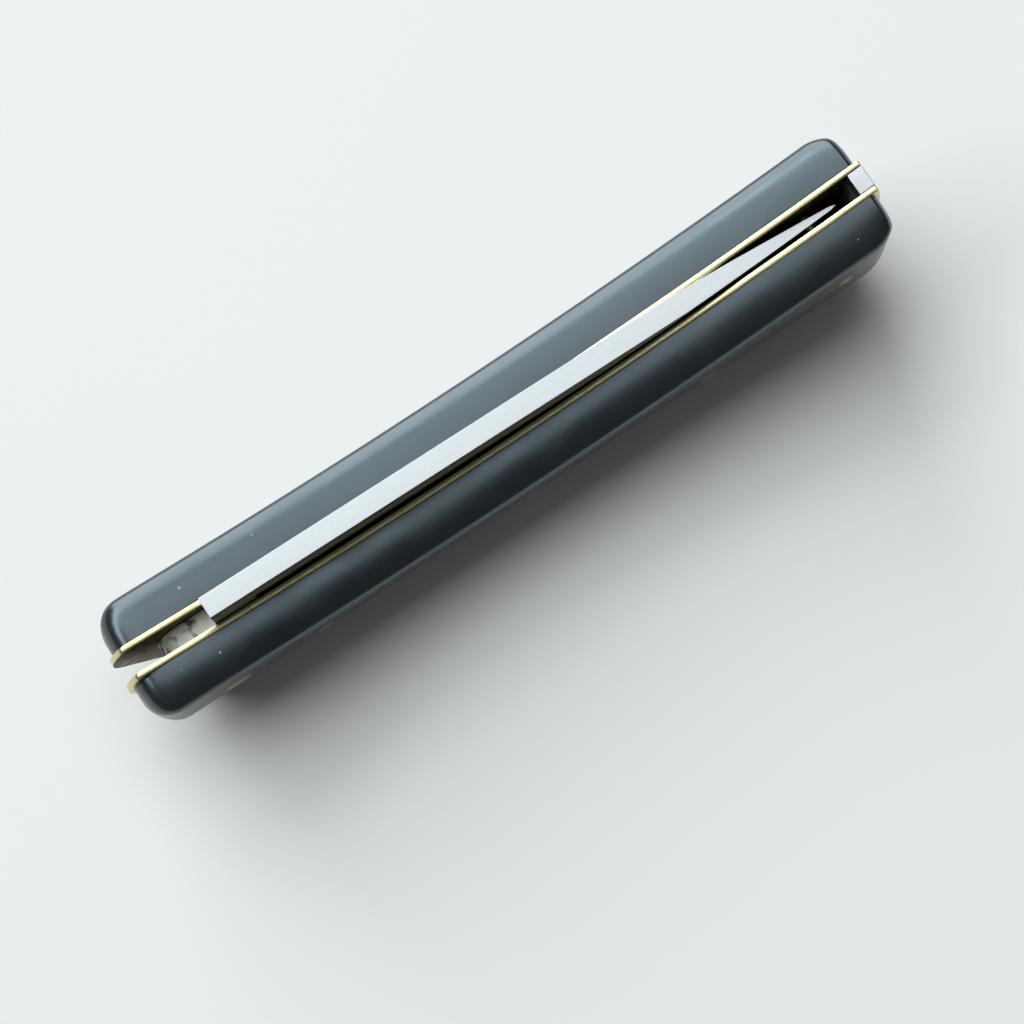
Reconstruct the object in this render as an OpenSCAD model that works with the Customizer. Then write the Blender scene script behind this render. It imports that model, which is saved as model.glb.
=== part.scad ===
// Single-blade pocket knife, closed, standing on its back with the slot upwards.
// X runs along the handle from the pivot end to the butt, +Y is the left side, +Z points out of the slot.
// The origin is under the middle of the handle, on the flat of its back.

/* [Handle] */
// Length of the closed knife
handle_length = 100; // [92:1:115]
// Height of the handle where its slot edge is lowest
waist_height = 16.2; // [15.5:0.1:19]
// Distance of that lowest place from the pivot end
waist_place = 42.8; // [36:0.2:50]
// Radius of the hollow slot edge, seen from the side
slot_edge_radius = 205; // [190:5:400]
// Height at which the pivot end reaches furthest out
pivot_brow_height = 15.5; // [14.5:0.1:16.5]
// Rounding of the pivot end there, seen from the side
pivot_brow_radius = 6.5; // [6:0.1:8]
// Angle by which the pivot end leans in below that height
pivot_lean_angle = 24; // [12:1:26]
// Radius of the back corner at the pivot end
pivot_corner_radius = 2.5; // [1.5:0.1:3]
// Height at which the butt reaches furthest out
butt_brow_height = 14; // [12:0.5:15]
// Rounding of the butt there, seen from the side
butt_brow_radius = 50; // [40:1:80]
// Radius of the back corner at the butt
butt_corner_radius = 9; // [5:0.5:10]

/* [Scales] */
// Thickness of each handle scale at its thickest
scale_thickness = 5.2; // [4.6:0.05:6.5]
// Rounding of the outer edge beside the slot
shoulder_radius = 2.2; // [1:0.1:2.6]
// Rounding of the pivot end, seen from above
pivot_plan_radius = 3.5; // [2:0.1:5]
// Rounding of the butt, seen from above
butt_plan_radius = 4.5; // [3:0.1:5]
// Radius of the swelling outer face, seen from the end
swell_radius = 36; // [30:1:60]
// Height at which the outer faces are widest
swell_height = 14; // [12:0.2:15]
// Rounding of the outer edge along the back
back_edge_radius = 2; // [1:0.1:2.2]

/* [Liners] */
// Thickness of each liner plate
liner_thickness = 0.7; // [0.5:0.05:1.2]

/* [Blade] */
// Thickness of the blade at its spine and tang
blade_thickness = 2.55; // [2:0.05:3]
// Width of the blade from its spine to its edge
blade_width = 14.8; // [13:0.1:15]
// Length of the rounded part of the edge, back from the tip
belly_length = 36; // [28:1:42]
// Angle by which the spine falls towards the tip
spine_droop = 2.9; // [2.5:0.05:3]
// Distance of the full-thickness band under the spine
spine_band = 3; // [2:0.1:5]
// Thickness left just behind the cutting edge
edge_thickness = 0.5; // [0.3:0.05:0.6]
// Height of the final bevel that forms the cutting edge
edge_bevel = 0.6; // [0.4:0.1:1]
// Distance from the spring's upright end to the tip
tip_gap = 1.9; // [1.4:0.1:3]

/* [Tang] */
// Distance of the pivot from the pivot end of the handle
pivot_inset = 10.5; // [9.5:0.1:12]
// Height of the pivot, which puts the open blade's spine flush with the back
pivot_height = 11.85; // [11.4:0.05:12.2]
// Distance of the two tang flats from the pivot
tang_flat = 4.4; // [4:0.1:4.8]
// Radius of the round end of the tang, which lifts the spring between the flats
cam_radius = 5.4; // [5.2:0.1:5.8]
// Distance of the blade's shoulder ahead of the pivot
shoulder_offset = 1.6; // [1.2:0.1:2.4]
// Distance of the end of the kick ahead of the pivot
kick_reach = 5.4; // [5:0.1:6.2]
// Radius of the notch between the kick and the edge
notch_radius = 1.5; // [1:0.1:2]

/* [Nail nick] */
// Radius of the cutting wheel that leaves the nick
nick_wheel_radius = 30; // [20:1:40]
// Depth of the nick
nick_depth = 0.5; // [0.3:0.05:0.6]
// Height of the nick
nick_height = 1.7; // [1.2:0.1:2.4]
// Distance of the nick's upper lip under the spine
nick_drop = 2; // [1.5:0.1:2.8]
// Distance of the middle of the nick ahead of the shoulder
nick_place = 36; // [25:1:42]

/* [Backspring] */
// Thickness of the spring's arm
arm_thickness = 4.2; // [3.6:0.1:4.4]
// Distance from the pivot to the back of the raised nose
nose_reach = 6.5; // [6:0.1:8]
// Length of the slope behind the nose
nose_slope = 8; // [6:0.5:12]
// Radius of the boss around the centre pin's hole
boss_radius = 2.7; // [2.5:0.1:2.9]
// Radius of the inside corner at the butt
heel_radius = 8; // [5:0.5:10]
// Distance of the upright end's inner face from the butt
upright_inset = 2.9; // [2.4:0.1:4]

/* [Pins] */
// Diameter of the pivot pin
pivot_pin_diameter = 3; // [2.4:0.1:3.4]
// Wall of the bushing that the tang turns on
bushing_wall = 0.7; // [0.5:0.05:0.8]
// Diameter of the two pins through the spring
spring_pin_diameter = 2; // [1.6:0.1:2.4]
// Height of the two pins through the spring
spring_pin_height = 2.6; // [2.5:0.05:2.8]
// Distance of the centre pin from the pivot end
centre_pin_place = 50; // [46:1:56]
// Distance of the spring's rear pin from the butt
rear_pin_inset = 11.5; // [10.5:0.5:14]
// Diameter of the thin pin across the slot under the tip
butt_pin_diameter = 1.2; // [1:0.1:1.6]
// Distance of the thin pin under the tip
butt_pin_drop = 4; // [3.8:0.1:5]
// Distance of the thin pin back from the tip
butt_pin_setback = 3.2; // [2.4:0.1:3.4]
// Diameter of the short rivets that hold a scale to its liner
rivet_diameter = 1.6; // [1.2:0.1:2]
// Height of the short rivets
rivet_height = 10.5; // [9:0.5:12]
// Distance of the front rivets from the pivot end
front_rivet_inset = 22; // [19:1:26]
// Distance of the rear rivets from the butt
rear_rivet_inset = 26; // [20:1:30]
// Height of the cone under a spread pin head
head_depth = 0.5; // [0.3:0.05:0.6]
// Spread of a pin head past the pin's own radius
head_spread = 0.35; // [0.2:0.05:0.5]

/* [Clearances] */
// Gap between the blade and each liner
blade_side_gap = 0.075; // [0.05:0.005:0.15]
// Gap between the spring and each liner
spring_side_gap = 0.03; // [0.02:0.005:0.06]
// Radial gap between the tang and its bushing
running_gap = 0.03; // [0.02:0.005:0.08]
// Radial gap around a pin in its hole
pin_gap = 0.02; // [0.01:0.005:0.05]
// Gap between the spring's nose and the shoulder of the open blade
nose_gap = 0.05; // [0.03:0.01:0.15]

/* [Hidden] */
$fn = 96;
arc_fn = 720;
over = 1;
horn = "#26292b";
steel = "#d5dcdf";
brass = "#c2a35a";

// Layers from the middle outwards
slot_half = blade_thickness / 2 + blade_side_gap;
liner_half = slot_half + liner_thickness;
handle_half = liner_half + scale_thickness;

// Places along the handle
pivot_end = -handle_length / 2;
butt_end = handle_length / 2;
waist_x = pivot_end + waist_place;
pivot_x = pivot_end + pivot_inset;
upright_x = butt_end - upright_inset;
front_rivet_x = pivot_end + front_rivet_inset;
rear_rivet_x = butt_end - rear_rivet_inset;
centre_pin_x = pivot_end + centre_pin_place;
rear_pin_x = butt_end - rear_pin_inset;
blank_top = waist_height + slot_edge_radius - sqrt(pow(slot_edge_radius, 2) - pow(butt_end - waist_x, 2));

// The tang and the spring's nose meet at the same height, closed and open
nose_height = pivot_height - tang_flat;
bushing_radius = pivot_pin_diameter / 2 + bushing_wall;

// The blade is drawn from the top of its shoulder, with its spine along X
shoulder_x = pivot_x + shoulder_offset;
spine_top = 2 * pivot_height;
tip_x = upright_x - tip_gap;
blade_length = (tip_x - shoulder_x) / cos(spine_droop);
tip_height = spine_top - blade_length * sin(spine_droop);
butt_pin_x = tip_x - butt_pin_setback;
butt_pin_height = tip_height - butt_pin_drop;
belly_radius = (pow(belly_length, 2) + pow(blade_width, 2)) / (2 * blade_width);
belly_start = blade_length - belly_length;
belly_sweep = asin(belly_length / belly_radius) + over;
plunge_x = pivot_x + kick_reach + notch_radius;
grind_height = blade_width - spine_band;

// Half the width of the handle at a height above its back
function face_y(z) = z >= swell_height
  ? handle_half
  : handle_half - swell_radius + sqrt(pow(swell_radius, 2) - pow(swell_height - z, 2));

// Lays a side view drawn in X and Z out to a thickness along Y
module from_side(thickness) {
  rotate([90, 0, 0]) linear_extrude(thickness, center = true) children();
}

// Side view of the handle, shared by the scales, the liners and the ends of the spring
module side_view() {
  difference() {
    intersection() {
      end_outline(pivot_end, 1, pivot_brow_radius, pivot_brow_height, pivot_lean_angle, pivot_corner_radius);
      end_outline(butt_end, -1, butt_brow_radius, butt_brow_height, 0, butt_corner_radius);
    }
    translate([waist_x, waist_height + slot_edge_radius]) circle(slot_edge_radius, $fn = arc_fn);
  }
}

// Everything on the inner side of one end: a rounded brow, a lean down from it and a rounded back corner.
// inward is 1 for the pivot end and -1 for the butt
module end_outline(end_x, inward, brow_radius, brow_height, slant, corner_radius) {
  outward = [-inward * cos(slant), -sin(slant)];
  brow = [end_x + inward * brow_radius, brow_height];
  brow_end = brow + brow_radius * outward;
  drop = (brow_end.y + corner_radius * sin(slant) - corner_radius) / cos(slant);
  corner_x = brow_end.x - corner_radius * outward.x + inward * drop * sin(slant);
  corner = [corner_x, corner_radius];
  far_x = end_x + inward * (handle_length + over);
  top = blank_top + over;
  polygon([
    brow, brow_end, corner + corner_radius * outward, corner, [corner_x, 0], [far_x, 0], [far_x, top], [brow.x, top]
  ]);
  translate(corner) circle(corner_radius);
  intersection() {
    translate(brow) circle(brow_radius, $fn = arc_fn);
    translate([min(end_x, brow.x) - over, brow_end.y]) square([brow_radius + 2 * over, top]);
  }
}

// Section across the handle: upright faces above, swelling faces below and a rounded back edge
module cross_section() {
  half_section();
  mirror([1, 0]) half_section();
}

module half_section() {
  face_centre = [handle_half - swell_radius, swell_height];
  reach = sqrt(pow(swell_radius - back_edge_radius, 2) - pow(swell_height - back_edge_radius, 2));
  edge_centre = [face_centre.x + reach, back_edge_radius];
  along = (edge_centre - face_centre) / norm(edge_centre - face_centre);
  past_face = face_centre + along * (swell_radius + over);
  translate([0, swell_height]) square([handle_half, blank_top - swell_height]);
  intersection() {
    translate(face_centre) circle(swell_radius, $fn = arc_fn);
    union() {
      polygon([face_centre, past_face, [handle_half + over, past_face.y], [handle_half + over, swell_height]]);
      translate(edge_centre) circle(back_edge_radius);
      square([edge_centre.x, swell_height]);
    }
    square([handle_half + over, swell_height]);
  }
}

// Outline of the handle from above, with rounded corners
module plan_view() {
  translate([pivot_end + pivot_plan_radius, -handle_half])
    square([handle_length - pivot_plan_radius - butt_plan_radius, 2 * handle_half]);
  plan_end(pivot_end, 1, pivot_plan_radius);
  plan_end(butt_end, -1, butt_plan_radius);
}

// One end of that outline; inward is 1 for the pivot end and -1 for the butt
module plan_end(end_x, inward, radius) {
  corner_y = handle_half - radius;
  translate([end_x + inward * radius, 0]) square([2 * radius, 2 * corner_y], center = true);
  for (side = [-1, 1]) translate([end_x + inward * radius, side * corner_y]) circle(radius);
}

// Ring that rounds the outer edges beside the hollow slot edge
module shoulder_cutter() {
  translate([waist_x, 0, waist_height + slot_edge_radius]) rotate([90, 0, 0])
    rotate_extrude($fn = arc_fn) {
      shoulder_gusset();
      mirror([0, 1]) shoulder_gusset();
    }
}

module shoulder_gusset() {
  inner_y = handle_half - shoulder_radius;
  difference() {
    translate([slot_edge_radius - over, inner_y]) square([shoulder_radius + over, shoulder_radius + over]);
    translate([slot_edge_radius + shoulder_radius, inner_y]) circle(shoulder_radius);
  }
}

// The outer form of the whole handle as one block
module handle_block() {
  difference() {
    intersection() {
      from_side(2 * handle_half + over) side_view();
      translate([pivot_end, 0, 0]) rotate([90, 0, 90]) linear_extrude(handle_length) cross_section();
      translate([0, 0, -over]) linear_extrude(blank_top + 2 * over) plan_view();
    }
    shoulder_cutter();
  }
}

// A round pin along Y with spread heads that end flush with the handle, or its hole when gap is set
module through_pin(x, z, radius, gap = 0) {
  face = face_y(z);
  length = 2 * (handle_half + over);
  translate([x, 0, z]) rotate([90, 0, 0]) {
    cylinder(h = length, r = radius + gap, center = true);
    for (turn = [0, 180])
      rotate([turn, 0, 0]) translate([0, 0, face - head_depth])
        cylinder(h = head_depth, r1 = radius + gap, r2 = radius + gap + head_spread);
    for (turn = [0, 180])
      rotate([turn, 0, 0]) translate([0, 0, face])
        cylinder(h = handle_half + over - face, r = radius + gap + head_spread);
  }
}

// A rivet through one liner and its scale; side is 1 for left and -1 for right
module rivet_shape(x, side, gap = 0) {
  radius = rivet_diameter / 2 + gap;
  intersection() {
    union() {
      through_pin(x, rivet_height, rivet_diameter / 2, gap);
      translate([x, 0, rivet_height]) rotate([-90 * side, 0, 0]) translate([0, 0, slot_half])
        cylinder(h = liner_thickness / 2, r1 = radius + head_spread, r2 = radius);
    }
    translate([x, side * (slot_half + handle_half), rivet_height])
      cube([handle_length, 2 * handle_half, 2 * rivet_height], center = true);
  }
}

// All the holes through the handle's plates
module pin_holes() {
  through_pin(pivot_x, pivot_height, pivot_pin_diameter / 2, pin_gap);
  through_pin(centre_pin_x, spring_pin_height, spring_pin_diameter / 2, pin_gap);
  through_pin(rear_pin_x, spring_pin_height, spring_pin_diameter / 2, pin_gap);
  through_pin(butt_pin_x, butt_pin_height, butt_pin_diameter / 2, pin_gap);
  for (side = [-1, 1]) {
    rivet_shape(front_rivet_x, side, pin_gap);
    rivet_shape(rear_rivet_x, side, pin_gap);
  }
}

module scale_plate(side) {
  color(horn) difference() {
    intersection() {
      handle_block();
      translate([0, side * (liner_half + handle_half), blank_top / 2])
        cube([handle_length + over, 2 * handle_half, blank_top + over], center = true);
    }
    pin_holes();
  }
}

module liner_plate(side) {
  color(brass) difference() {
    translate([0, side * (slot_half + liner_half) / 2, 0]) from_side(liner_thickness) side_view();
    pin_holes();
  }
}

module flush_pin(x, z, diameter) {
  color(brass) intersection() {
    through_pin(x, z, diameter / 2);
    handle_block();
  }
}

module short_rivet(x, side) {
  color(brass) intersection() {
    rivet_shape(x, side);
    handle_block();
  }
}

module pivot_bushing() {
  color(brass) translate([pivot_x, 0, pivot_height]) rotate([90, 0, 0]) difference() {
    cylinder(h = 2 * slot_half, r = bushing_radius, center = true);
    cylinder(h = 2 * slot_half + over, r = pivot_pin_diameter / 2 + pin_gap, center = true);
  }
}

// Side view of the spring: a nose under the tang, a thin arm, a boss and an upright end at the butt
module spring_view() {
  nose_start = pivot_x - shoulder_offset + nose_gap;
  nose_end = pivot_x + nose_reach;
  intersection() {
    side_view();
    union() {
      translate([nose_start, 0]) square([butt_end - nose_start, arm_thickness]);
      polygon([
        [nose_start, 0], [nose_end + nose_slope, 0], [nose_end + nose_slope, arm_thickness],
        [nose_end, nose_height], [nose_start, nose_height]
      ]);
      translate([centre_pin_x, spring_pin_height]) circle(boss_radius);
      upright_end();
    }
  }
}

module upright_end() {
  corner_x = upright_x - heel_radius;
  corner_z = arm_thickness + heel_radius;
  difference() {
    translate([corner_x, 0]) square([butt_end - corner_x, blank_top]);
    translate([corner_x, corner_z]) circle(heel_radius);
    translate([corner_x - over, corner_z]) square([heel_radius + over, blank_top]);
  }
}

module backspring() {
  color(steel) difference() {
    from_side(2 * (slot_half - spring_side_gap)) spring_view();
    pin_holes();
  }
}

// Puts a shape drawn from the top of the shoulder, with the spine along X, in its closed place
module at_shoulder() {
  translate([shoulder_x, 0, spine_top]) rotate([0, spine_droop, 0]) children();
}

// Side view of the whole blade; the grind brings its lower side up to the cutting edge
module blade_view() {
  difference() {
    union() {
      tang_view();
      intersection() {
        translate([shoulder_x, spine_top]) rotate(-spine_droop)
          translate([-shoulder_offset, -blade_width - over])
            square([blade_length + shoulder_offset + over, blade_width + over]);
        union() {
          translate([shoulder_x, nose_height]) square([plunge_x - shoulder_x + over, spine_top]);
          translate([plunge_x, 0]) square([handle_length, spine_top]);
        }
      }
    }
    translate([plunge_x, nose_height]) circle(notch_radius);
  }
}

// Round end of the tang between its two flats, and the kick that rests on the spring when closed
module tang_view() {
  intersection() {
    translate([pivot_x, pivot_height]) circle(cam_radius);
    translate([pivot_x - cam_radius, nose_height]) square([2 * cam_radius, 2 * tang_flat]);
  }
  translate([pivot_x, nose_height]) square([plunge_x - pivot_x, 2 * tang_flat]);
}

// Section of the grind from the cutting edge upwards; its sides run on past the blade's thickness
module grind_section() {
  slope = (blade_thickness - edge_thickness) / 2 / (grind_height - edge_bevel);
  reach = blade_width + over;
  reach_half = edge_thickness / 2 + slope * (reach - edge_bevel);
  polygon([
    [0, 0], [edge_bevel, edge_thickness / 2], [reach, reach_half],
    [reach, -reach_half], [edge_bevel, -edge_thickness / 2]
  ]);
}

// The ground part of the blade: straight at first, then turning around the centre of the belly
module ground_blade() {
  translate([0, 0, -blade_width]) rotate([0, -90, 180]) linear_extrude(belly_start) grind_section();
  translate([belly_start, 0, belly_radius - blade_width]) rotate([90, 0, 0]) rotate([0, 0, -90])
    rotate_extrude(angle = belly_sweep, $fn = arc_fn)
      translate([belly_radius, 0]) mirror([1, 0]) grind_section();
}

// Full-thickness part of the blade, up to where the grind begins
module ricasso_block() {
  start = pivot_x - cam_radius - over;
  width = blade_thickness + over;
  translate([start, -width / 2, 0]) cube([plunge_x - start, width, spine_top + over]);
}

// Wheel that cuts the nail nick into the left face
module nick_cutter() {
  translate([nick_place, blade_thickness / 2 - nick_depth + nick_wheel_radius, -nick_drop - nick_height])
    cylinder(h = nick_height, r1 = nick_wheel_radius - nick_depth, r2 = nick_wheel_radius, $fn = arc_fn);
}

module blade() {
  color(steel) difference() {
    intersection() {
      from_side(blade_thickness) blade_view();
      union() {
        ricasso_block();
        at_shoulder() ground_blade();
      }
    }
    translate([pivot_x, 0, pivot_height]) rotate([90, 0, 0])
      cylinder(h = blade_thickness + over, r = bushing_radius + running_gap, center = true);
    at_shoulder() nick_cutter();
  }
}

scale_plate(1);  // left_scale
scale_plate(-1);  // right_scale
liner_plate(1);  // left_liner
liner_plate(-1);  // right_liner
backspring();
blade();
pivot_bushing();
flush_pin(pivot_x, pivot_height, pivot_pin_diameter);  // pivot_pin
flush_pin(centre_pin_x, spring_pin_height, spring_pin_diameter);  // spring_centre_pin
flush_pin(rear_pin_x, spring_pin_height, spring_pin_diameter);  // spring_rear_pin
flush_pin(butt_pin_x, butt_pin_height, butt_pin_diameter);  // butt_pin
short_rivet(front_rivet_x, 1);  // left_front_rivet
short_rivet(rear_rivet_x, 1);  // left_rear_rivet
short_rivet(front_rivet_x, -1);  // right_front_rivet
short_rivet(rear_rivet_x, -1);  // right_rear_rivet
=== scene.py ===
# %% [markdown]
# A pocket knife, closed and standing on its back, seen from above.
#
# The knife comes as an exact model from a CAD program. That model is right in every size, but its edges
# are razor sharp and its curved faces are made of a few flat ones. A real knife is finished by hand: the
# horn is sanded round and polished, and every metal edge is broken with a stone. This script gives the
# knife that finish. It models the pieces again around the exact ones and paints them with materials.

# %% Load the exact knife
import math

import bmesh
import bpy
from mathutils import Matrix, Vector


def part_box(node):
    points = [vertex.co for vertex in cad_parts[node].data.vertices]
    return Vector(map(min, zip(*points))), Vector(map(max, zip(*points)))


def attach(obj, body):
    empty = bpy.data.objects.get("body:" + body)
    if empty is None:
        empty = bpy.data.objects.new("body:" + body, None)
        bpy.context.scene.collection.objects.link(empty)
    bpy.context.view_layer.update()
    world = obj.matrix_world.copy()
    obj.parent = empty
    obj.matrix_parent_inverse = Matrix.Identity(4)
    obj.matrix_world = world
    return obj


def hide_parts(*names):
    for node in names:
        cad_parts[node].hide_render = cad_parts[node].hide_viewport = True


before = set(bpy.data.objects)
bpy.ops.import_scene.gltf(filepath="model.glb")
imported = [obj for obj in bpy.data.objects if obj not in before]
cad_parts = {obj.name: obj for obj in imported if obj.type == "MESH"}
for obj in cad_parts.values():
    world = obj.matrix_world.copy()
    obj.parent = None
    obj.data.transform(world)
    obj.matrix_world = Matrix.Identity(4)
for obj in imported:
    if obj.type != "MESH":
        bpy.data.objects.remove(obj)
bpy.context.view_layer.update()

MM = 0.001
TOUCH = 0.001 * MM
print("nodes:", ", ".join(sorted(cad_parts)))

# %% [markdown]
# The exact pieces say where everything is. Reading a place from them is better than writing it down a
# second time, because the two can then never disagree. X runs from the pivot end to the butt, Y is across
# the knife and Z points up, out of the slot.

# %% Places read from the exact pieces
liner_low, liner_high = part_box("left_liner")
scale_low, scale_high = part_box("left_scale")

PIVOT_END = scale_low.x
BUTT_END = scale_high.x
SLOT_HALF = liner_low.y
LINER_HALF = liner_high.y
HANDLE_HALF = scale_high.y


def pin_centre(node):
    low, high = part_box(node)
    return (low + high) / 2


print("slot is", round(2 * SLOT_HALF / MM, 2), "mm wide, handle", round(2 * HANDLE_HALF / MM, 2), "mm")

# %% [markdown]
# The shape of the handle, seen from the side, is a few arcs and straight lines, as a knife maker draws it
# on the blank. The slot edge is one long hollow arc. The pivot end is a rounded brow that leans in
# towards the back, and the butt is nearly upright. The exact pieces are meshes and no longer know their
# arcs, so the radii are given here. The outline could be traced as a curve object, but the grids below ask
# for its height at many places. So each line is written as a height at a place along X.

# %% The handle's outline, as a maker would draw it
SLOT_EDGE_RADIUS = 205 * MM
WAIST_X = PIVOT_END + 42.8 * MM
WAIST_HEIGHT = 16.2 * MM
BROW_RADIUS = 6.5 * MM
BROW_HEIGHT = 15.5 * MM
BROW_LEAN = math.radians(24)
PIVOT_CORNER_RADIUS = 2.5 * MM
BUTT_BROW_RADIUS = 50 * MM
BUTT_BROW_HEIGHT = 14 * MM
BUTT_CORNER_RADIUS = 9 * MM

brow_x = PIVOT_END + BROW_RADIUS
butt_corner_x = BUTT_END - BUTT_CORNER_RADIUS
lean_start = Vector((brow_x, BROW_HEIGHT)) - BROW_RADIUS * Vector((math.cos(BROW_LEAN), math.sin(BROW_LEAN)))
lean_drop = lean_start.y - PIVOT_CORNER_RADIUS * (1 - math.sin(BROW_LEAN))
lean_end_x = lean_start.x + lean_drop * math.tan(BROW_LEAN)
pivot_corner_x = lean_end_x + PIVOT_CORNER_RADIUS * math.cos(BROW_LEAN)


def arc_rise(radius, offset):
    """Height of a circle above its centre, at an offset from it."""
    return math.sqrt(max(radius**2 - offset**2, 0))


def soft_minimum(a, b, reach):
    """The smaller of two heights, with a smooth turn where they cross."""
    share = min(max(0.5 + 0.5 * (b - a) / reach, 0), 1)
    return b + (a - b) * share - reach * share * (1 - share)


def slot_edge_height(x):
    return WAIST_HEIGHT + SLOT_EDGE_RADIUS - arc_rise(SLOT_EDGE_RADIUS, x - WAIST_X)


def end_height(x, butt_radius):
    """Height of the curves that turn down to the two ends."""
    if x < 0:
        return BROW_HEIGHT + arc_rise(BROW_RADIUS, min(x - brow_x, 0))
    return BUTT_BROW_HEIGHT + arc_rise(butt_radius, max(x - BUTT_END + butt_radius, 0))


def back_height(x):
    """Lower line of the side view: the flat back, turned up at both ends."""
    if x < lean_start.x:
        return BROW_HEIGHT - arc_rise(BROW_RADIUS, x - brow_x)
    if x < lean_end_x:
        return lean_start.y - (x - lean_start.x) / math.tan(BROW_LEAN)
    if x < pivot_corner_x:
        return PIVOT_CORNER_RADIUS - arc_rise(PIVOT_CORNER_RADIUS, x - pivot_corner_x)
    if x > butt_corner_x:
        return BUTT_CORNER_RADIUS - arc_rise(BUTT_CORNER_RADIUS, x - butt_corner_x)
    return 0


print("slot edge at the waist", round(slot_edge_height(WAIST_X) / MM, 2), "mm high")

# %% [markdown]
# Blender's modelling operators work on what is selected, so each one needs a clean start: the exact
# pieces are still selected after loading, and a new shape comes in selected all over. These few helpers
# deselect, choose faces or edges by a test, and apply a modifier at once.

# %% Helpers for modelling


def deselect_all():
    if bpy.context.object and bpy.context.object.mode != "OBJECT":
        bpy.ops.object.mode_set(mode="OBJECT")
    bpy.ops.object.select_all(action="DESELECT")


def activate(piece):
    deselect_all()
    piece.select_set(True)
    bpy.context.view_layer.objects.active = piece


def edit(piece, kind="FACE"):
    activate(piece)
    bpy.ops.object.mode_set(mode="EDIT")
    bpy.ops.mesh.select_mode(type=kind)


def leave_edit():
    bpy.ops.object.mode_set(mode="OBJECT")


def choose(piece, part, test):
    """Selects the vertices, edges or faces of a piece that pass a test, and nothing else."""
    edit(piece, {"vertices": "VERT", "edges": "EDGE", "polygons": "FACE"}[part])
    bpy.ops.mesh.select_all(action="DESELECT")
    leave_edit()
    mesh = piece.data
    for element in getattr(mesh, part):
        element.select = test(mesh, element)
    bpy.ops.object.mode_set(mode="EDIT")


def add_modifier(piece, kind, **settings):
    activate(piece)
    modifier = piece.modifiers.new(kind.title(), kind)
    for name, value in settings.items():
        setattr(modifier, name, value)
    bpy.ops.object.modifier_apply(modifier=modifier.name)


def copy_of(piece, name):
    activate(piece)
    bpy.ops.object.duplicate()
    copy = bpy.context.object
    copy.name = name
    copy.data.name = name
    return copy


def discard(*pieces):
    deselect_all()
    for piece in pieces:
        bpy.data.objects.remove(piece)


def report(piece):
    """Prints a piece's size and triangles, and how many of its edges are open, which should be none."""
    triangles = sum(len(face.vertices) - 2 for face in piece.data.polygons)
    size = [round(side / MM, 2) for side in piece.dimensions]
    shell = bmesh.new()
    shell.from_mesh(piece.data)
    open_edges = sum(not edge.is_manifold for edge in shell.edges)
    volume = shell.calc_volume(signed=True) / MM**3
    shell.free()
    print(f"{piece.name}: {size} mm, {volume:.1f} mm3, {triangles} triangles, {open_edges} open edges")


# %% [markdown]
# The horn is one thick slab on each side. Its outer rim is sanded round, a little along the slot and more
# at the ends, and its outer face draws in towards the back. Beveling a cut-out slab is the obvious way,
# but the bevel folds over itself at the slot's corners, where it is wider than the edges it meets. So a
# flat grid is laid round the slab like a skin: one direction of the grid runs along the knife, the other
# round its section, and each point is moved to its place on the outline.
#
# In section the rim is a superellipse, a curve between a circle and a square. It leaves the top nearly flat
# and turns down softly, as sanding does. A slab can be set back from the outline at its two ends, because
# soft horn wears back further than brass does.

# %% Wrap a grid round a slab of the left half
END_ZONE = 9 * MM
END_STATIONS = 40
MIDDLE_STATIONS = 56
TOP_STEPS = 18
FACE_STEPS = 26
BACK_STEPS = 8
TOP_DROP = 1.8 * MM
TOP_POWER = 2.6
PIVOT_CREST = 3.6 * MM
BUTT_CREST = 2.3 * MM
HORN_BUTT_RADIUS = 36 * MM
BACK_EDGE_RADIUS = 2 * MM
PIVOT_PLAN_RADIUS = 3.5 * MM
BUTT_PLAN_RADIUS = 4.5 * MM
SWELL_RADIUS = 36 * MM
SWELL_HEIGHT = 14 * MM


def swelling_face(z):
    """Half the width of the handle at a height above its back."""
    if z >= SWELL_HEIGHT:
        return HANDLE_HALF
    return HANDLE_HALF - SWELL_RADIUS + arc_rise(SWELL_RADIUS, SWELL_HEIGHT - z)


def plan_half_width(x):
    """Half the width seen from above, with the rounded corners of the ends."""
    if x < 0:
        radius, inside = PIVOT_PLAN_RADIUS, x - PIVOT_END
    else:
        radius, inside = BUTT_PLAN_RADIUS, BUTT_END - x
    if inside >= radius:
        return HANDLE_HALF
    return HANDLE_HALF - radius + arc_rise(radius, radius - inside)


def slab_section(x, inner, rim_break, set_back):
    """Points round the slab's section at x, from its inner face over the slot edge and down to the back."""
    pivot_set_back, butt_set_back = set_back
    outer_x = x - pivot_set_back if x < 0 else x + butt_set_back
    back = back_height(outer_x)
    crest = PIVOT_CREST if x < 0 else BUTT_CREST
    top = soft_minimum(slot_edge_height(x), end_height(outer_x, HORN_BUTT_RADIUS), crest)
    half_height = max(top - back, 0) / 2
    width = plan_half_width(outer_x)
    start = LINER_HALF + rim_break
    room = width - start
    drop = min(TOP_DROP, half_height)
    edge = min(BACK_EDGE_RADIUS, half_height, room)
    points = [(inner, top - min(rim_break, half_height))]
    for step in range(TOP_STEPS):
        turn = math.pi / 2 * step / TOP_STEPS
        across = math.sin(turn) ** (2 / TOP_POWER)
        down = 1 - math.cos(turn) ** (2 / TOP_POWER)
        points.append((start + room * across, top - drop * down))
    face_top = top - drop
    for step in range(FACE_STEPS):
        points.append((width, face_top + (back + edge - face_top) * step / FACE_STEPS))
    for step in range(BACK_STEPS):
        turn = math.pi / 2 * step / BACK_STEPS
        points.append((width - edge * (1 - math.cos(turn)), back + edge * (1 - math.sin(turn))))
    for step in range(BACK_STEPS + 1):
        points.append((width - edge + (inner - width + edge) * step / BACK_STEPS, back))
    return [(inner + (y - inner) * (swelling_face(z) - inner) / (HANDLE_HALF - inner), z) for y, z in points]


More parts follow.
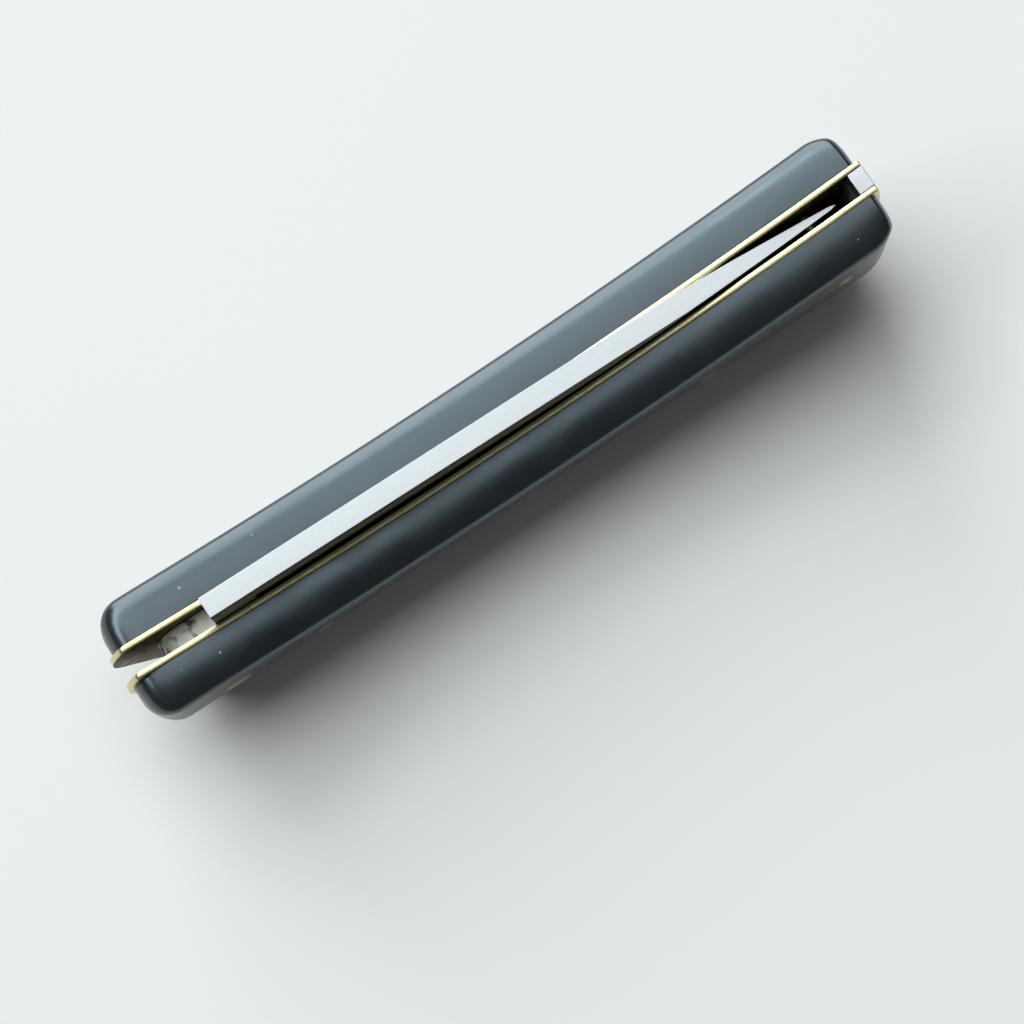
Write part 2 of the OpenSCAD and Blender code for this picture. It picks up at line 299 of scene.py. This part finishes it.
def stations(set_back=(0, 0)):
    """Places along the knife, close together at the ends, where the outline turns."""
    pivot_set_back, butt_set_back = set_back
    first = PIVOT_END + pivot_set_back
    last = BUTT_END - butt_set_back
    near = [max(END_ZONE * (step / END_STATIONS) ** 2, TOUCH) for step in range(END_STATIONS)]
    run = last - first - 2 * END_ZONE
    middle = [first + END_ZONE + run * step / MIDDLE_STATIONS for step in range(MIDDLE_STATIONS + 1)]
    return [first + step for step in near] + middle + [last - step for step in reversed(near)]


def close_flat(skin, test):
    """Closes an open flat side with one face."""
    choose(skin, "vertices", lambda mesh, vertex: test(vertex.co))
    bpy.ops.mesh.edge_face_add()
    leave_edit()


def merge_doubles(piece):
    """Merges points that lie on one another, and turns all faces outwards."""
    edit(piece, "VERT")
    bpy.ops.mesh.select_all(action="SELECT")
    bpy.ops.mesh.remove_doubles(threshold=TOUCH / 10)
    bpy.ops.mesh.normals_make_consistent(inside=False)
    leave_edit()


def wrap_slab(name, inner, rim_break=0, set_back=(0, 0)):
    """The handle's left half from the plane at y = inner outwards, set back at its two ends."""
    places = stations(set_back)
    sections = [slab_section(x, inner, rim_break, set_back) for x in places]
    columns = len(places) - 1
    rows = len(sections[0]) - 1
    deselect_all()
    bpy.ops.mesh.primitive_grid_add(x_subdivisions=columns, y_subdivisions=rows, size=1)
    skin = bpy.context.object
    skin.name = name
    skin.data.name = name
    for vertex in skin.data.vertices:
        along = round((vertex.co.x + 0.5) * columns)
        around = round((vertex.co.y + 0.5) * rows)
        vertex.co = (places[along], *sections[along][around])
    merge_doubles(skin)
    close_flat(skin, lambda point: point.x < places[0] + TOUCH)
    close_flat(skin, lambda point: point.x > places[-1] - TOUCH)
    close_flat(skin, lambda point: point.y < inner + TOUCH)
    merge_doubles(skin)
    return skin


half = wrap_slab("handle_half", 0)
report(half)

# %% [markdown]
# The pins are soft brass. The long ones go through all the plates, and the short rivets hold each scale to
# its liner. All are spread with a hammer into shallow cones and then filed flush with the horn. A profile
# spun round an axis would do for the shank, but not for the head, which has to end in the curved face of
# the horn. So a pin is a cylinder whose end is extruded and widened, and the half of the handle that was
# wrapped above trims it flush. A long pin is mirrored from its left half, and a rivet is copied to the
# right side. The same shape, a hair fatter, drills its hole in the scale and the liner.

# %% Pins that end flush with the horn
HEAD_DEPTH = 0.5 * MM
HEAD_SPREAD = 0.35 * MM
DRILL_GAP = 0.04 * MM
PIN_SIDES = 48
PIN_EDGE = 0.05 * MM
FACING = 0.9
THROUGH_PINS = {
    "pivot_pin": 1.5 * MM,
    "spring_centre_pin": 1 * MM,
    "spring_rear_pin": 1 * MM,
    "butt_pin": 0.6 * MM,
}
RIVETS = {"front_rivet": 0.8 * MM, "rear_rivet": 0.8 * MM}
SMOOTH_ANGLE = math.radians(40)


def spread_pin(name, place, radius, start, gap=0):
    """A pin from the plane at y = start outwards, with a head that spreads just under the horn's face."""
    neck = swelling_face(place.z) - HEAD_DEPTH
    deselect_all()
    bpy.ops.mesh.primitive_cylinder_add(
        vertices=PIN_SIDES,
        radius=radius + gap,
        depth=neck - start,
        location=(place.x, (start + neck) / 2, place.z),
        rotation=(math.pi / 2, 0, 0),
    )
    pin = bpy.context.object
    pin.name = name
    pin.data.name = name
    bpy.ops.object.transform_apply(location=True, rotation=True, scale=True)
    choose(pin, "polygons", lambda mesh, face: face.normal.y > FACING)
    bpy.ops.mesh.extrude_region_move(TRANSFORM_OT_translate={"value": (0, HEAD_DEPTH, 0)})
    spread = (radius + gap + HEAD_SPREAD) / (radius + gap)
    rim_centre = (place.x, neck + HEAD_DEPTH, place.z)
    bpy.ops.transform.resize(value=(spread, 1, spread), center_override=rim_centre)
    bpy.ops.mesh.extrude_region_move(TRANSFORM_OT_translate={"value": (0, HANDLE_HALF, 0)})
    leave_edit()
    return pin


def soften(piece, width, angle=30):
    """Breaks the sharp edges of a piece, as a stone does, and shades the rest smooth."""
    add_modifier(
        piece,
        "BEVEL",
        width=width,
        segments=2,
        limit_method="ANGLE",
        angle_limit=math.radians(angle),
        use_clamp_overlap=False,
        loop_slide=False,
    )
    shade(piece)


def shade(piece):
    activate(piece)
    bpy.ops.object.shade_smooth_by_angle(angle=SMOOTH_ANGLE)


def mirrored(piece, name):
    """A copy of a left piece for the right side."""
    twin = copy_of(piece, name)
    edit(twin)
    bpy.ops.mesh.select_all(action="SELECT")
    bpy.ops.transform.resize(value=(1, -1, 1), center_override=(0, 0, 0))
    bpy.ops.mesh.flip_normals()
    leave_edit()
    return twin


pins = {}
drills = []
for node, radius in THROUGH_PINS.items():
    pin = spread_pin(node + "_brass", pin_centre(node), radius, 0)
    add_modifier(pin, "BOOLEAN", operation="INTERSECT", object=half, solver="EXACT")
    choose(pin, "polygons", lambda mesh, face: face.normal.y < -FACING and face.center.y < TOUCH)
    bpy.ops.mesh.delete(type="FACE")
    leave_edit()
    add_modifier(pin, "MIRROR", use_axis=(False, True, False), use_clip=True)
    soften(pin, PIN_EDGE)
    pins[node] = pin
    drills.append(spread_pin(node + "_drill", pin_centre(node), radius, 0, DRILL_GAP))
for rivet, radius in RIVETS.items():
    place = pin_centre("left_" + rivet)
    pin = spread_pin("left_" + rivet + "_brass", place, radius, SLOT_HALF)
    add_modifier(pin, "BOOLEAN", operation="INTERSECT", object=half, solver="EXACT")
    soften(pin, PIN_EDGE)
    pins["left_" + rivet] = pin
    pins["right_" + rivet] = mirrored(pin, "right_" + rivet + "_brass")
    drills.append(spread_pin(rivet + "_drill", place, radius, 0, DRILL_GAP))
drill = drills[0]
activate(drill)
for other in drills:
    other.select_set(True)
bpy.ops.object.join()
for pin in pins.values():
    report(pin)

# %% [markdown]
# Each scale is such a slab, from the liner outwards, drilled for the pins. Its inner rim is broken a
# little, and beside the liner's own broken edge that leaves the fine dark line that real knives have
# between horn and brass. The horn has worn back from the brass at both ends, more at the pivot end, which
# rubs in the pocket. One scale is made and mirrored for the other side, so the two are sure to match.

# %% Wrap the scales and drill them
SCALE_RIM_BREAK = 0.08 * MM
PIVOT_SET_BACK = 0.6 * MM
BUTT_SET_BACK = 0.3 * MM


def drill_through(piece):
    add_modifier(piece, "BOOLEAN", operation="DIFFERENCE", object=drill, solver="EXACT")
    shade(piece)


left_scale = wrap_slab("left_scale_horn", LINER_HALF, SCALE_RIM_BREAK, (PIVOT_SET_BACK, BUTT_SET_BACK))
drill_through(left_scale)
right_scale = mirrored(left_scale, "right_scale_horn")
report(left_scale)

# %% [markdown]
# The liners are cut from sheet brass to the same outline. A sheet is flat, so it needs no grid: a filled
# circle is moved onto the outline, point by point, and extruded to the sheet's thickness. Filing rounds the
# edges a little, so that they catch the light as bright lines with a soft border.

# %% Cut the liners from sheet brass
LINER_EDGE = 0.09 * MM
BRASS_CREST = 0.6 * MM


def outline_points():
    """The side view as a closed loop: along the slot edge to the butt, and back along the knife's back."""
    over = []
    for x in stations():
        top = soft_minimum(slot_edge_height(x), end_height(x, BUTT_BROW_RADIUS), BRASS_CREST)
        over.append((x, top))
    under = [(x, back_height(x)) for x in reversed(stations())]
    return over + under[:-1]


def cut_sheet(name, inner, outer):
    points = outline_points()
    deselect_all()
    bpy.ops.mesh.primitive_circle_add(vertices=len(points), radius=1, fill_type="NGON")
    sheet = bpy.context.object
    sheet.name = name
    sheet.data.name = name
    for vertex, (x, z) in zip(sheet.data.vertices, points):
        vertex.co = (x, inner, z)
    choose(sheet, "polygons", lambda mesh, face: True)
    bpy.ops.mesh.extrude_region_move(TRANSFORM_OT_translate={"value": (0, outer - inner, 0)})
    bpy.ops.mesh.select_all(action="SELECT")
    bpy.ops.mesh.normals_make_consistent(inside=False)
    leave_edit()
    return sheet


left_liner = cut_sheet("left_liner_brass", SLOT_HALF, LINER_HALF)
soften(left_liner, LINER_EDGE, angle=50)
drill_through(left_liner)
right_liner = mirrored(left_liner, "right_liner_brass")
report(left_liner)
discard(half, drill)

# %% [markdown]
# The blade, the spring and the bushing keep their exact shapes, since the tang has to run on the spring.
# A copy of each is merged to one skin first, because the exact pieces are loose triangles, and then its
# edges are broken. The blade's spine stays crisp, as the photo shows it. Smooth shading would let the
# narrow bevels bend the light on the wide flats, so the normals are weighted by the size of the faces.

# %% Break the edges of the blade, the spring and the bushing
MERGE = 0.0005 * MM
FLAT_ENOUGH = math.radians(0.2)
CRISP_EDGE = 0.05 * MM
SPRING_EDGE = 0.08 * MM


def finished_copy(node, name, width):
    piece = copy_of(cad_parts[node], name)
    piece.parent = None
    edit(piece, "VERT")
    bpy.ops.mesh.select_all(action="SELECT")
    bpy.ops.mesh.remove_doubles(threshold=MERGE)
    bpy.ops.mesh.dissolve_limited(angle_limit=FLAT_ENOUGH)
    leave_edit()
    soften(piece, width)
    add_modifier(piece, "WEIGHTED_NORMAL", keep_sharp=True)
    report(piece)
    return piece


blade = finished_copy("blade", "blade_steel", CRISP_EDGE)
spring = finished_copy("backspring", "backspring_steel", SPRING_EDGE)
bushing = finished_copy("pivot_bushing", "pivot_bushing_brass", CRISP_EDGE)

# %% [markdown]
# A real knife has two bodies: the blade turns, and all the rest is pinned together into the handle. Every
# piece rides on its body, so that it moves when the blade opens, and stands in for its exact piece.

# %% Put the pieces on their bodies


def put_on(piece, body, node):
    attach(piece, body)
    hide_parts(node)
    print(piece.name, "rides on the", body)


put_on(left_scale, "handle", "left_scale")
put_on(right_scale, "handle", "right_scale")
put_on(left_liner, "handle", "left_liner")
put_on(right_liner, "handle", "right_liner")
put_on(spring, "handle", "backspring")
put_on(bushing, "handle", "pivot_bushing")
put_on(blade, "blade", "blade")
for node, pin in pins.items():
    put_on(pin, "handle", node)

# %% [markdown]
# The photo was taken from above, leaning a little towards the right side of the knife. The camera's place
# could be set by eye. Here it was worked out instead from points that are easy to find in the photo, such
# as the tip, the shoulder and the ends of the liners, until all of them fell on their places.

# %% Camera
CAMERA_PLACE = Vector((-29, -58.3, 356.4)) * MM
CAMERA_AIM = Vector((-3.93, -8.79, 18)) * MM
PICTURE_UP = Vector((0.551, 0.835, 0))
LENS = 109.3
SENSOR_WIDTH = 36

camera_data = bpy.data.cameras.new("camera")
camera_data.lens = LENS
camera_data.sensor_width = SENSOR_WIDTH
camera = bpy.data.objects.new("camera", camera_data)
bpy.context.scene.collection.objects.link(camera)
back = (CAMERA_PLACE - CAMERA_AIM).normalized()
right = PICTURE_UP.cross(back).normalized()
up = back.cross(right)
camera.matrix_world = Matrix.Translation(CAMERA_PLACE) @ Matrix((right, up, back)).transposed().to_4x4()
bpy.context.scene.camera = camera
print("camera is", round((CAMERA_PLACE - CAMERA_AIM).length / MM), "mm from the knife")

# %% [markdown]
# Each material is built from nodes that read the place of a point on the piece. The exact model is in
# metres, while finish is a matter of tenths of a millimetre, so every material works in millimetres. A few
# small helpers keep the node code short: one adds a node, others make noise, masks and mixes.

# %% Helpers for materials


def add(tree, kind, inputs=None, **settings):
    """Adds a node. Each input takes a value, or a link when it is given the output of another node."""
    made = tree.nodes.new("ShaderNode" + kind)
    for name, value in settings.items():
        setattr(made, name, value)
    for name, value in (inputs or {}).items():
        if isinstance(value, bpy.types.NodeSocket):
            tree.links.new(value, made.inputs[name])
        else:
            made.inputs[name].default_value = value
    return made


def place_in_mm(tree):
    place = add(tree, "TexCoord").outputs["Object"]
    return add(tree, "VectorMath", {0: place, "Scale": 1 / MM}, operation="SCALE").outputs["Vector"]


def noise(tree, place, scale, detail=2):
    return add(tree, "TexNoise", {"Vector": place, "Scale": scale, "Detail": detail}).outputs["Fac"]


def math_node(tree, operation, *values):
    return add(tree, "Math", dict(enumerate(values)), operation=operation).outputs["Value"]


def vector_math(tree, operation, first, second):
    return add(tree, "VectorMath", {0: first, 1: second}, operation=operation).outputs["Vector"]


def ramp(tree, value, low, high, start=0, end=1):
    """Goes smoothly from start to end while the value goes from low to high."""
    limits = {"Value": value, "From Min": low, "From Max": high, "To Min": start, "To Max": end}
    return add(tree, "MapRange", limits, interpolation_type="SMOOTHSTEP").outputs["Result"]


def blend(tree, share, first, second):
    """Mixes two colours: none of the second where the share is 0, all of it where the share is 1."""
    return add(tree, "Mix", {0: share, 6: first, 7: second}, data_type="RGBA").outputs[2]


def new_group(name, inputs, outputs):
    """An empty group with its named inputs and outputs."""
    group = bpy.data.node_groups.new(name, "ShaderNodeTree")
    for label, kind in inputs.items():
        group.interface.new_socket(name=label, in_out="INPUT", socket_type="NodeSocket" + kind)
    for label, kind in outputs.items():
        group.interface.new_socket(name=label, in_out="OUTPUT", socket_type="NodeSocket" + kind)
    return group, group.nodes.new("NodeGroupInput").outputs, group.nodes.new("NodeGroupOutput").inputs


def use(tree, group, **inputs):
    return add(tree, "Group", inputs, node_tree=group).outputs


def new_material(name):
    material = bpy.data.materials.new(name)
    material.use_nodes = True
    return material, material.node_tree, material.node_tree.nodes["Principled BSDF"].inputs


def cut_lines(material, shader, lines, strength, depth):
    """Cuts tool lines into the surface as shallow relief, which is the last step of each material."""
    tree = material.node_tree
    relief = add(tree, "Bump", {"Height": lines, "Strength": strength, "Distance": depth})
    tree.links.new(relief.outputs["Normal"], shader["Normal"])
    print("material", material.name, "has", len(tree.nodes), "nodes")


# %% [markdown]
# Three effects come back on several pieces, so each is a group of nodes that is built once and then placed
# in every material that needs it.
#
# - Tool lines: fine marks that run one way. They are noise, stretched along the stroke of the tool.
# - Handling: soft smudges from fingers, and tiny specks of dust.
# - Patches: stains with a ragged border.
#
# A fourth group is used by the spring alone, and is a group because it is long. The inset measures how far
# a point lies under the knife's outline, in millimetres. The spring is painted darker inside, as painted
# shade, while its edges near the outline are rubbed bright.

# %% Shared effects
SMUDGE_SCALE = 0.16
SPECK_SCALE = 0.26
SPECK_RADIUS = 0.05
STAIN_SCALE = 0.75
RAGGED_BORDER = (-0.08, 0.12)

stroke_inputs = {"Place": "Vector", "Stretch": "Vector"}
tool_lines, given, result = new_group("tool_lines", stroke_inputs, {"Lines": "Float"})
stretched = vector_math(tool_lines, "MULTIPLY", given["Place"], given["Stretch"])
tool_lines.links.new(noise(tool_lines, stretched, 1, 3), result["Lines"])

handling, given, result = new_group("handling", {"Place": "Vector"}, {"Smudge": "Float", "Specks": "Float"})
smears = noise(handling, given["Place"], SMUDGE_SCALE)
handling.links.new(ramp(handling, smears, 0.25, 0.75), result["Smudge"])
cells = add(handling, "TexVoronoi", {"Vector": given["Place"], "Scale": SPECK_SCALE})
specks = ramp(handling, cells.outputs["Distance"], SPECK_RADIUS, 0.4 * SPECK_RADIUS)
handling.links.new(specks, result["Specks"])

patches, given, result = new_group("patches", {"Place": "Vector", "Amount": "Float"}, {"Patches": "Float"})
ragged = noise(patches, given["Place"], STAIN_SCALE, 8)
cover = math_node(patches, "SUBTRACT", given["Amount"], ragged)
patches.links.new(ramp(patches, cover, *RAGGED_BORDER), result["Patches"])

inset, given, result = new_group("inset", {"Place": "Vector"}, {"Inset": "Float"})
arc_centre = (WAIST_X / MM, 0, (WAIST_HEIGHT + SLOT_EDGE_RADIUS) / MM)
from_centre = vector_math(inset, "SUBTRACT", given["Place"], arc_centre)
side_on = vector_math(inset, "MULTIPLY", from_centre, (1, 0, 1))
from_arc = add(inset, "VectorMath", {0: side_on}, operation="LENGTH").outputs["Value"]
under_slot_edge = math_node(inset, "SUBTRACT", from_arc, SLOT_EDGE_RADIUS / MM)
axes = add(inset, "SeparateXYZ", {"Vector": given["Place"]}).outputs
from_end = math_node(inset, "SUBTRACT", BUTT_END / MM, math_node(inset, "ABSOLUTE", axes["X"]))
nearest_side = math_node(inset, "MINIMUM", under_slot_edge, axes["Z"])
inset.links.new(math_node(inset, "MINIMUM", nearest_side, from_end), result["Inset"])
print("shared effects:", ", ".join(group.name for group in (tool_lines, handling, patches, inset)))

# %% [markdown]
# A flat side of a plate is finished another way than its narrow edge: the liners' sides between the
# plates are painted dark brown, as tarnish and painted shade, and a blade's sides are ground across while
# its spine is brushed lengthwise. Two materials on one piece could show that, but with a hard border
# between them. So the liners, the blade and the spring store on each face how far it looks sideways, and
# their materials read that.

# %% Tell the flat sides of a piece from its edges
SIDE_START = 0.5
SIDE_FULL = 0.95


def mark_sides(piece):
    marks = piece.data.attributes.new("side", "FLOAT", "FACE")
    for mark, face in zip(marks.data, piece.data.polygons):
        mark.value = abs(face.normal.y)
    sideways = sum(mark.value > SIDE_FULL for mark in marks.data)
    print(piece.name, "has", sideways, "faces that look sideways")


def side_mask(tree):
    side = add(tree, "Attribute", attribute_name="side").outputs["Fac"]
    return ramp(tree, side, SIDE_START, SIDE_FULL)


for piece in (left_liner, right_liner, blade, spring):
    mark_sides(piece)

# %% [markdown]
# The scales are black horn, or a plastic that looks like it, with a satin polish. More colour would not
# make them look real, since black horn has almost none. What the eye sees is the sheen: smudges make it a
# little duller in places, sanding left fine lines along the knife, and a few specks of dust sit on it.

# %% Black horn
HORN_DARK = (0.009, 0.0095, 0.01, 1)
HORN_LIGHT = (0.015, 0.0155, 0.016, 1)
HORN_SHEEN = (0.78, 0.93, 1, 1)
DUST = (0.35, 0.38, 0.4, 1)
POLISHED = 0.24
SMUDGED = 0.3
CLOUD_SCALE = 0.3
SANDING_STRENGTH = 0.4
SANDING_DEPTH = 0.001 * MM

horn, tree, shader = new_material("black_horn")
place = place_in_mm(tree)
marks = use(tree, handling, Place=place)
clouds = blend(tree, noise(tree, place, CLOUD_SCALE, 4), HORN_DARK, HORN_LIGHT)
tree.links.new(blend(tree, marks["Specks"], clouds, DUST), shader["Base Color"])
tree.links.new(ramp(tree, marks["Smudge"], 0, 1, POLISHED, SMUDGED), shader["Roughness"])
shader["Specular IOR Level"].default_value = 1
shader["Specular Tint"].default_value = HORN_SHEEN
sanding = use(tree, tool_lines, Place=place, Stretch=(0.15, 3, 3))["Lines"]
cut_lines(horn, shader, sanding, SANDING_STRENGTH, SANDING_DEPTH)

# %% [markdown]
# Brass goes brown where it isn't rubbed. The filed edges of the liners are pale and bright, and their
# sides inside the slot are painted dark olive brown, partly as tarnish and partly as painted shade between
# the plates, with lighter places where the blade has rubbed. The heads of the pins were filed with the
# horn, and have dulled a little since. Two separate materials would repeat most of this, so one function
# makes both, and is told which way the file went and where the brass is tarnished, which on the liners
# includes the painted shade.

# %% Brass
BRASS_DARK = (0.61, 0.52, 0.26, 1)
BRASS_LIGHT = (0.79, 0.71, 0.42, 1)
# Brown of tarnish. On the liners' sides in the slot it is also painted shade.
TARNISH_AND_SHADE_DARK = (0.045, 0.032, 0.016, 1)
TARNISH_AND_SHADE_LIGHT = (0.12, 0.085, 0.04, 1)
ROUGHER_WHERE_DULL = 0.25
METAL_SMOOTH = 0.26
METAL_ROUGH = 0.36
BRUSH_STRENGTH = 0.6
BRUSH_DEPTH = 0.006 * MM
LINER_STAINS = 0.62
# The least darkening of the liners' slot sides: tarnish and painted shade together.
LEAST_TARNISH_AND_SHADE = 0.7
STAIN_TARNISH = 0.25
INSIDE = SLOT_HALF / MM + 0.2
OUTSIDE = LINER_HALF / MM - 0.2
SHANK_END = 3
HEAD_START = 5
SHANK_TARNISH = 0.1
HEAD_TARNISH = 0.55


def brass_material(name, stretch, mask):
    """Brass with tool lines along one way. The mask is a function that tells where it is tarnished; on the
    liners it also paints shade.
    """
    material, tree, shader = new_material(name)
    place = place_in_mm(tree)
    lines = use(tree, tool_lines, Place=place, Stretch=stretch)["Lines"]
    smudge = use(tree, handling, Place=place)["Smudge"]
    tarnish_and_shade = mask(tree, place)
    bright = blend(tree, lines, BRASS_DARK, BRASS_LIGHT)
    brown = blend(tree, smudge, TARNISH_AND_SHADE_DARK, TARNISH_AND_SHADE_LIGHT)
    tree.links.new(blend(tree, tarnish_and_shade, bright, brown), shader["Base Color"])
    shader["Metallic"].default_value = 1
    rubbed = ramp(tree, smudge, 0, 1, METAL_SMOOTH, METAL_ROUGH)
    roughness = math_node(tree, "MULTIPLY_ADD", tarnish_and_shade, ROUGHER_WHERE_DULL, rubbed)
    tree.links.new(roughness, shader["Roughness"])
    cut_lines(material, shader, lines, BRUSH_STRENGTH, BRUSH_DEPTH)
    return material


def tarnish_and_shade_sides(tree, place):
    """The side towards the slot is painted brown, as tarnish and painted shade, while the strip that stands
    out of the horn is rubbed bright.
    """
    stains = use(tree, patches, Place=place, Amount=LINER_STAINS)["Patches"]
    covered = math_node(tree, "MULTIPLY_ADD", stains, STAIN_TARNISH, LEAST_TARNISH_AND_SHADE)
    across = math_node(tree, "ABSOLUTE", add(tree, "SeparateXYZ", {"Vector": place}).outputs["Y"])
    # Painted shade: the side that faces the slot is darkened, together with its tarnish.
    in_slot = ramp(tree, across, INSIDE, OUTSIDE, 1, 0)
    return math_node(tree, "MULTIPLY", math_node(tree, "MULTIPLY", side_mask(tree), covered), in_slot)


def tarnished_heads(tree, place):
    """The heads, which lie further out than the plates, are a little duller than the shanks."""
    across = math_node(tree, "ABSOLUTE", add(tree, "SeparateXYZ", {"Vector": place}).outputs["Y"])
    return ramp(tree, across, SHANK_END, HEAD_START, SHANK_TARNISH, HEAD_TARNISH)


liner_brass = brass_material("liner_brass", (0.25, 9, 9), tarnish_and_shade_sides)
pin_brass = brass_material("pin_brass", (6, 1, 6), tarnished_heads)

# %% [markdown]
# The blade and the spring are carbon steel. The spine is brushed lengthwise and bright, the sides are
# ground across. The back of the tang, which nobody polishes, is dull and cream grey with nearly black
# stains, and they gather towards its round end partly as painted shade. The spring is painted dark the
# deeper it lies in the slot, as painted shade. Stains could be painted by hand on an image, but noise
# needs no image and keeps its detail at any distance. The tang starts at the blade's shoulder, whose place
# along the knife is given in millimetres, as the material measures.

# %% Steel
SHOULDER_X = -37.9
ROUND_START = SHOULDER_X - 4.3
ROUND_END = SHOULDER_X - 6.6
STEEL_DARK = (0.34, 0.345, 0.34, 1)
STEEL_LIGHT = (0.52, 0.525, 0.52, 1)
STAIN = (0.06, 0.07, 0.05, 1)
TANG_DARK = (0.55, 0.55, 0.45, 1)
TANG_LIGHT = (0.9, 0.9, 0.8, 1)
# The spring's dark colours, which paint the shade deep in the slot.
SPRING_DARK = (0.04, 0.036, 0.028, 1)
SPRING_LIGHT = (0.13, 0.12, 0.1, 1)
DULL_SCALE = 1.1
SMOOTHER_SIDES = -0.1
TANG_STAINS_AND_END_SHADE = (0.41, 0.54)
SPRING_WEAR_AND_SHADE = (0, 0.9)
SPRING_STAINS_AND_SHADE = (0.45, 0.6)


def steel_material(name, wear_and_shade, dull_and_shade_dark, dull_and_shade_light):
    """Brushed steel. The given function tells where it is dull, and how much of that is covered by dark
    stains. These also paint shade: on the spring deep in the slot, and at the round end of the tang.
    """
    material, tree, shader = new_material(name)
    place = place_in_mm(tree)
    side = side_mask(tree)
    lengthwise = use(tree, tool_lines, Place=place, Stretch=(0.12, 8, 2))["Lines"]
    across = use(tree, tool_lines, Place=place, Stretch=(7, 1, 0.2))["Lines"]
    lines = add(tree, "Mix", {0: side, 2: lengthwise, 3: across}).outputs[0]
    worn, amount = wear_and_shade(tree, place)
    bright = blend(tree, lines, STEEL_DARK, STEEL_LIGHT)
    dull_and_shaded = blend(tree, noise(tree, place, DULL_SCALE, 4), dull_and_shade_dark, dull_and_shade_light)
    stains = use(tree, patches, Place=place, Amount=amount)["Patches"]
    stained = blend(tree, stains, dull_and_shaded, STAIN)
    tree.links.new(blend(tree, worn, bright, stained), shader["Base Color"])
    tree.links.new(ramp(tree, worn, 0, 1, 1, 0), shader["Metallic"])
    brushed = ramp(tree, lines, 0.2, 0.8, METAL_SMOOTH, METAL_ROUGH)
    polish = math_node(tree, "MULTIPLY_ADD", side, SMOOTHER_SIDES, brushed)
    roughness = math_node(tree, "MULTIPLY_ADD", worn, ROUGHER_WHERE_DULL, polish)
    tree.links.new(roughness, shader["Roughness"])
    cut_lines(material, shader, lines, BRUSH_STRENGTH, BRUSH_DEPTH)
    return material


def tang_wear_and_end_shade(tree, place):
    """Dull from the shoulder on, with more stains towards the round end of the tang, which are partly
    painted shade where the end turns away from the light.
    """
    along = add(tree, "SeparateXYZ", {"Vector": place}).outputs["X"]
    worn = ramp(tree, along, SHOULDER_X + 0.05, SHOULDER_X - 0.1)
    # More stains towards the round end, partly as painted shade where the end turns away from the light.
    amount = ramp(tree, along, ROUND_START, ROUND_END, *TANG_STAINS_AND_END_SHADE)
    return worn, amount


def spring_wear_and_shade(tree, place):
    """Duller and more stained the deeper it lies in the slot, which is painted shade of the slot."""
    depth = use(tree, inset, Place=place)["Inset"]
    # Painted shade: the spring goes dark and stained the deeper it lies in the slot.
    worn = ramp(tree, depth, 1, 4, *SPRING_WEAR_AND_SHADE)
    amount = ramp(tree, depth, 2, 8, *SPRING_STAINS_AND_SHADE)
    return worn, amount


blade_steel = steel_material("blade_steel", tang_wear_and_end_shade, TANG_DARK, TANG_LIGHT)
spring_steel = steel_material("spring_steel", spring_wear_and_shade, SPRING_DARK, SPRING_LIGHT)

# %% [markdown]
# Each piece of a real knife is cut from one stock, so each piece here gets one material, and pieces of the
# same stock share it.

# %% Dress the pieces


def dress(material, *pieces):
    for piece in pieces:
        piece.data.materials.clear()
        piece.data.materials.append(material)
    print(material.name, "is on", ", ".join(piece.name for piece in pieces))


dress(horn, left_scale, right_scale)
dress(liner_brass, left_liner, right_liner)
dress(pin_brass, bushing, *pins.values())
dress(blade_steel, blade)
dress(spring_steel, spring)

# %% [markdown]
# Horn and steel show what stands around them, so small bright lamps would show up as spots. The lamps are
# large panels instead, as in a photo studio. One hangs over the knife and lights the steel and the flat
# tops of the scales. One stands like a window on the knife's left side, for the bright band along the left
# scale, and one beyond the pivot end, for the crest of that end. The right side gets only what the pale
# floor throws back, so it stays dark. The two windows stand well away, so that the floor is lit evenly, and
# the floor is matt, so that it doesn't glare.

# %% Light and floor
DAYLIGHT = (0.87, 0.95, 1)
SKY = (0.9, 0.95, 1, 1)
SKY_STRENGTH = 0.12
PALE_PAINT = (0.86, 0.82, 0.78, 1)
FLOOR_SIZE = 6

world = bpy.data.worlds.new("world")
bpy.context.scene.world = world
world.use_nodes = True
background = world.node_tree.nodes["Background"].inputs
background["Color"].default_value = SKY
background["Strength"].default_value = SKY_STRENGTH


def softbox(name, place, size, watts):
    """A rectangular lamp that points at the knife."""
    data = bpy.data.lights.new(name, "AREA")
    data.shape = "RECTANGLE"
    data.size, data.size_y = size
    data.energy = watts
    data.color = DAYLIGHT
    lamp = bpy.data.objects.new(name, data)
    lamp.location = place
    lamp.rotation_euler = Vector(place).to_track_quat("Z", "Y").to_euler()
    bpy.context.scene.collection.objects.link(lamp)
    print(name, "stands", round(Vector(place).length, 2), "m from the knife and gives", watts, "W")


softbox("overhead_softbox", place=(0.04, 0.54, 1.6), size=(1.68, 0.88), watts=12)
softbox("side_window", place=(0.12, 3.35, 1.78), size=(2.4, 3.7), watts=140)
softbox("end_window", place=(-1.72, 1.56, 2.4), size=(2.8, 0.8), watts=46)

deselect_all()
bpy.ops.mesh.primitive_plane_add(size=FLOOR_SIZE, location=(0, 0, 0))
floor = bpy.context.object
floor.name = "floor"
floor_paint, tree, shader = new_material("floor_paint")
shader["Base Color"].default_value = PALE_PAINT
shader["Roughness"].default_value = 0.9
shader["Specular IOR Level"].default_value = 0
dress(floor_paint, floor)

# %% [markdown]
# The picture is shown with the plain view transform.

# %% Plain view transform
bpy.context.scene.view_settings.view_transform = "Standard"
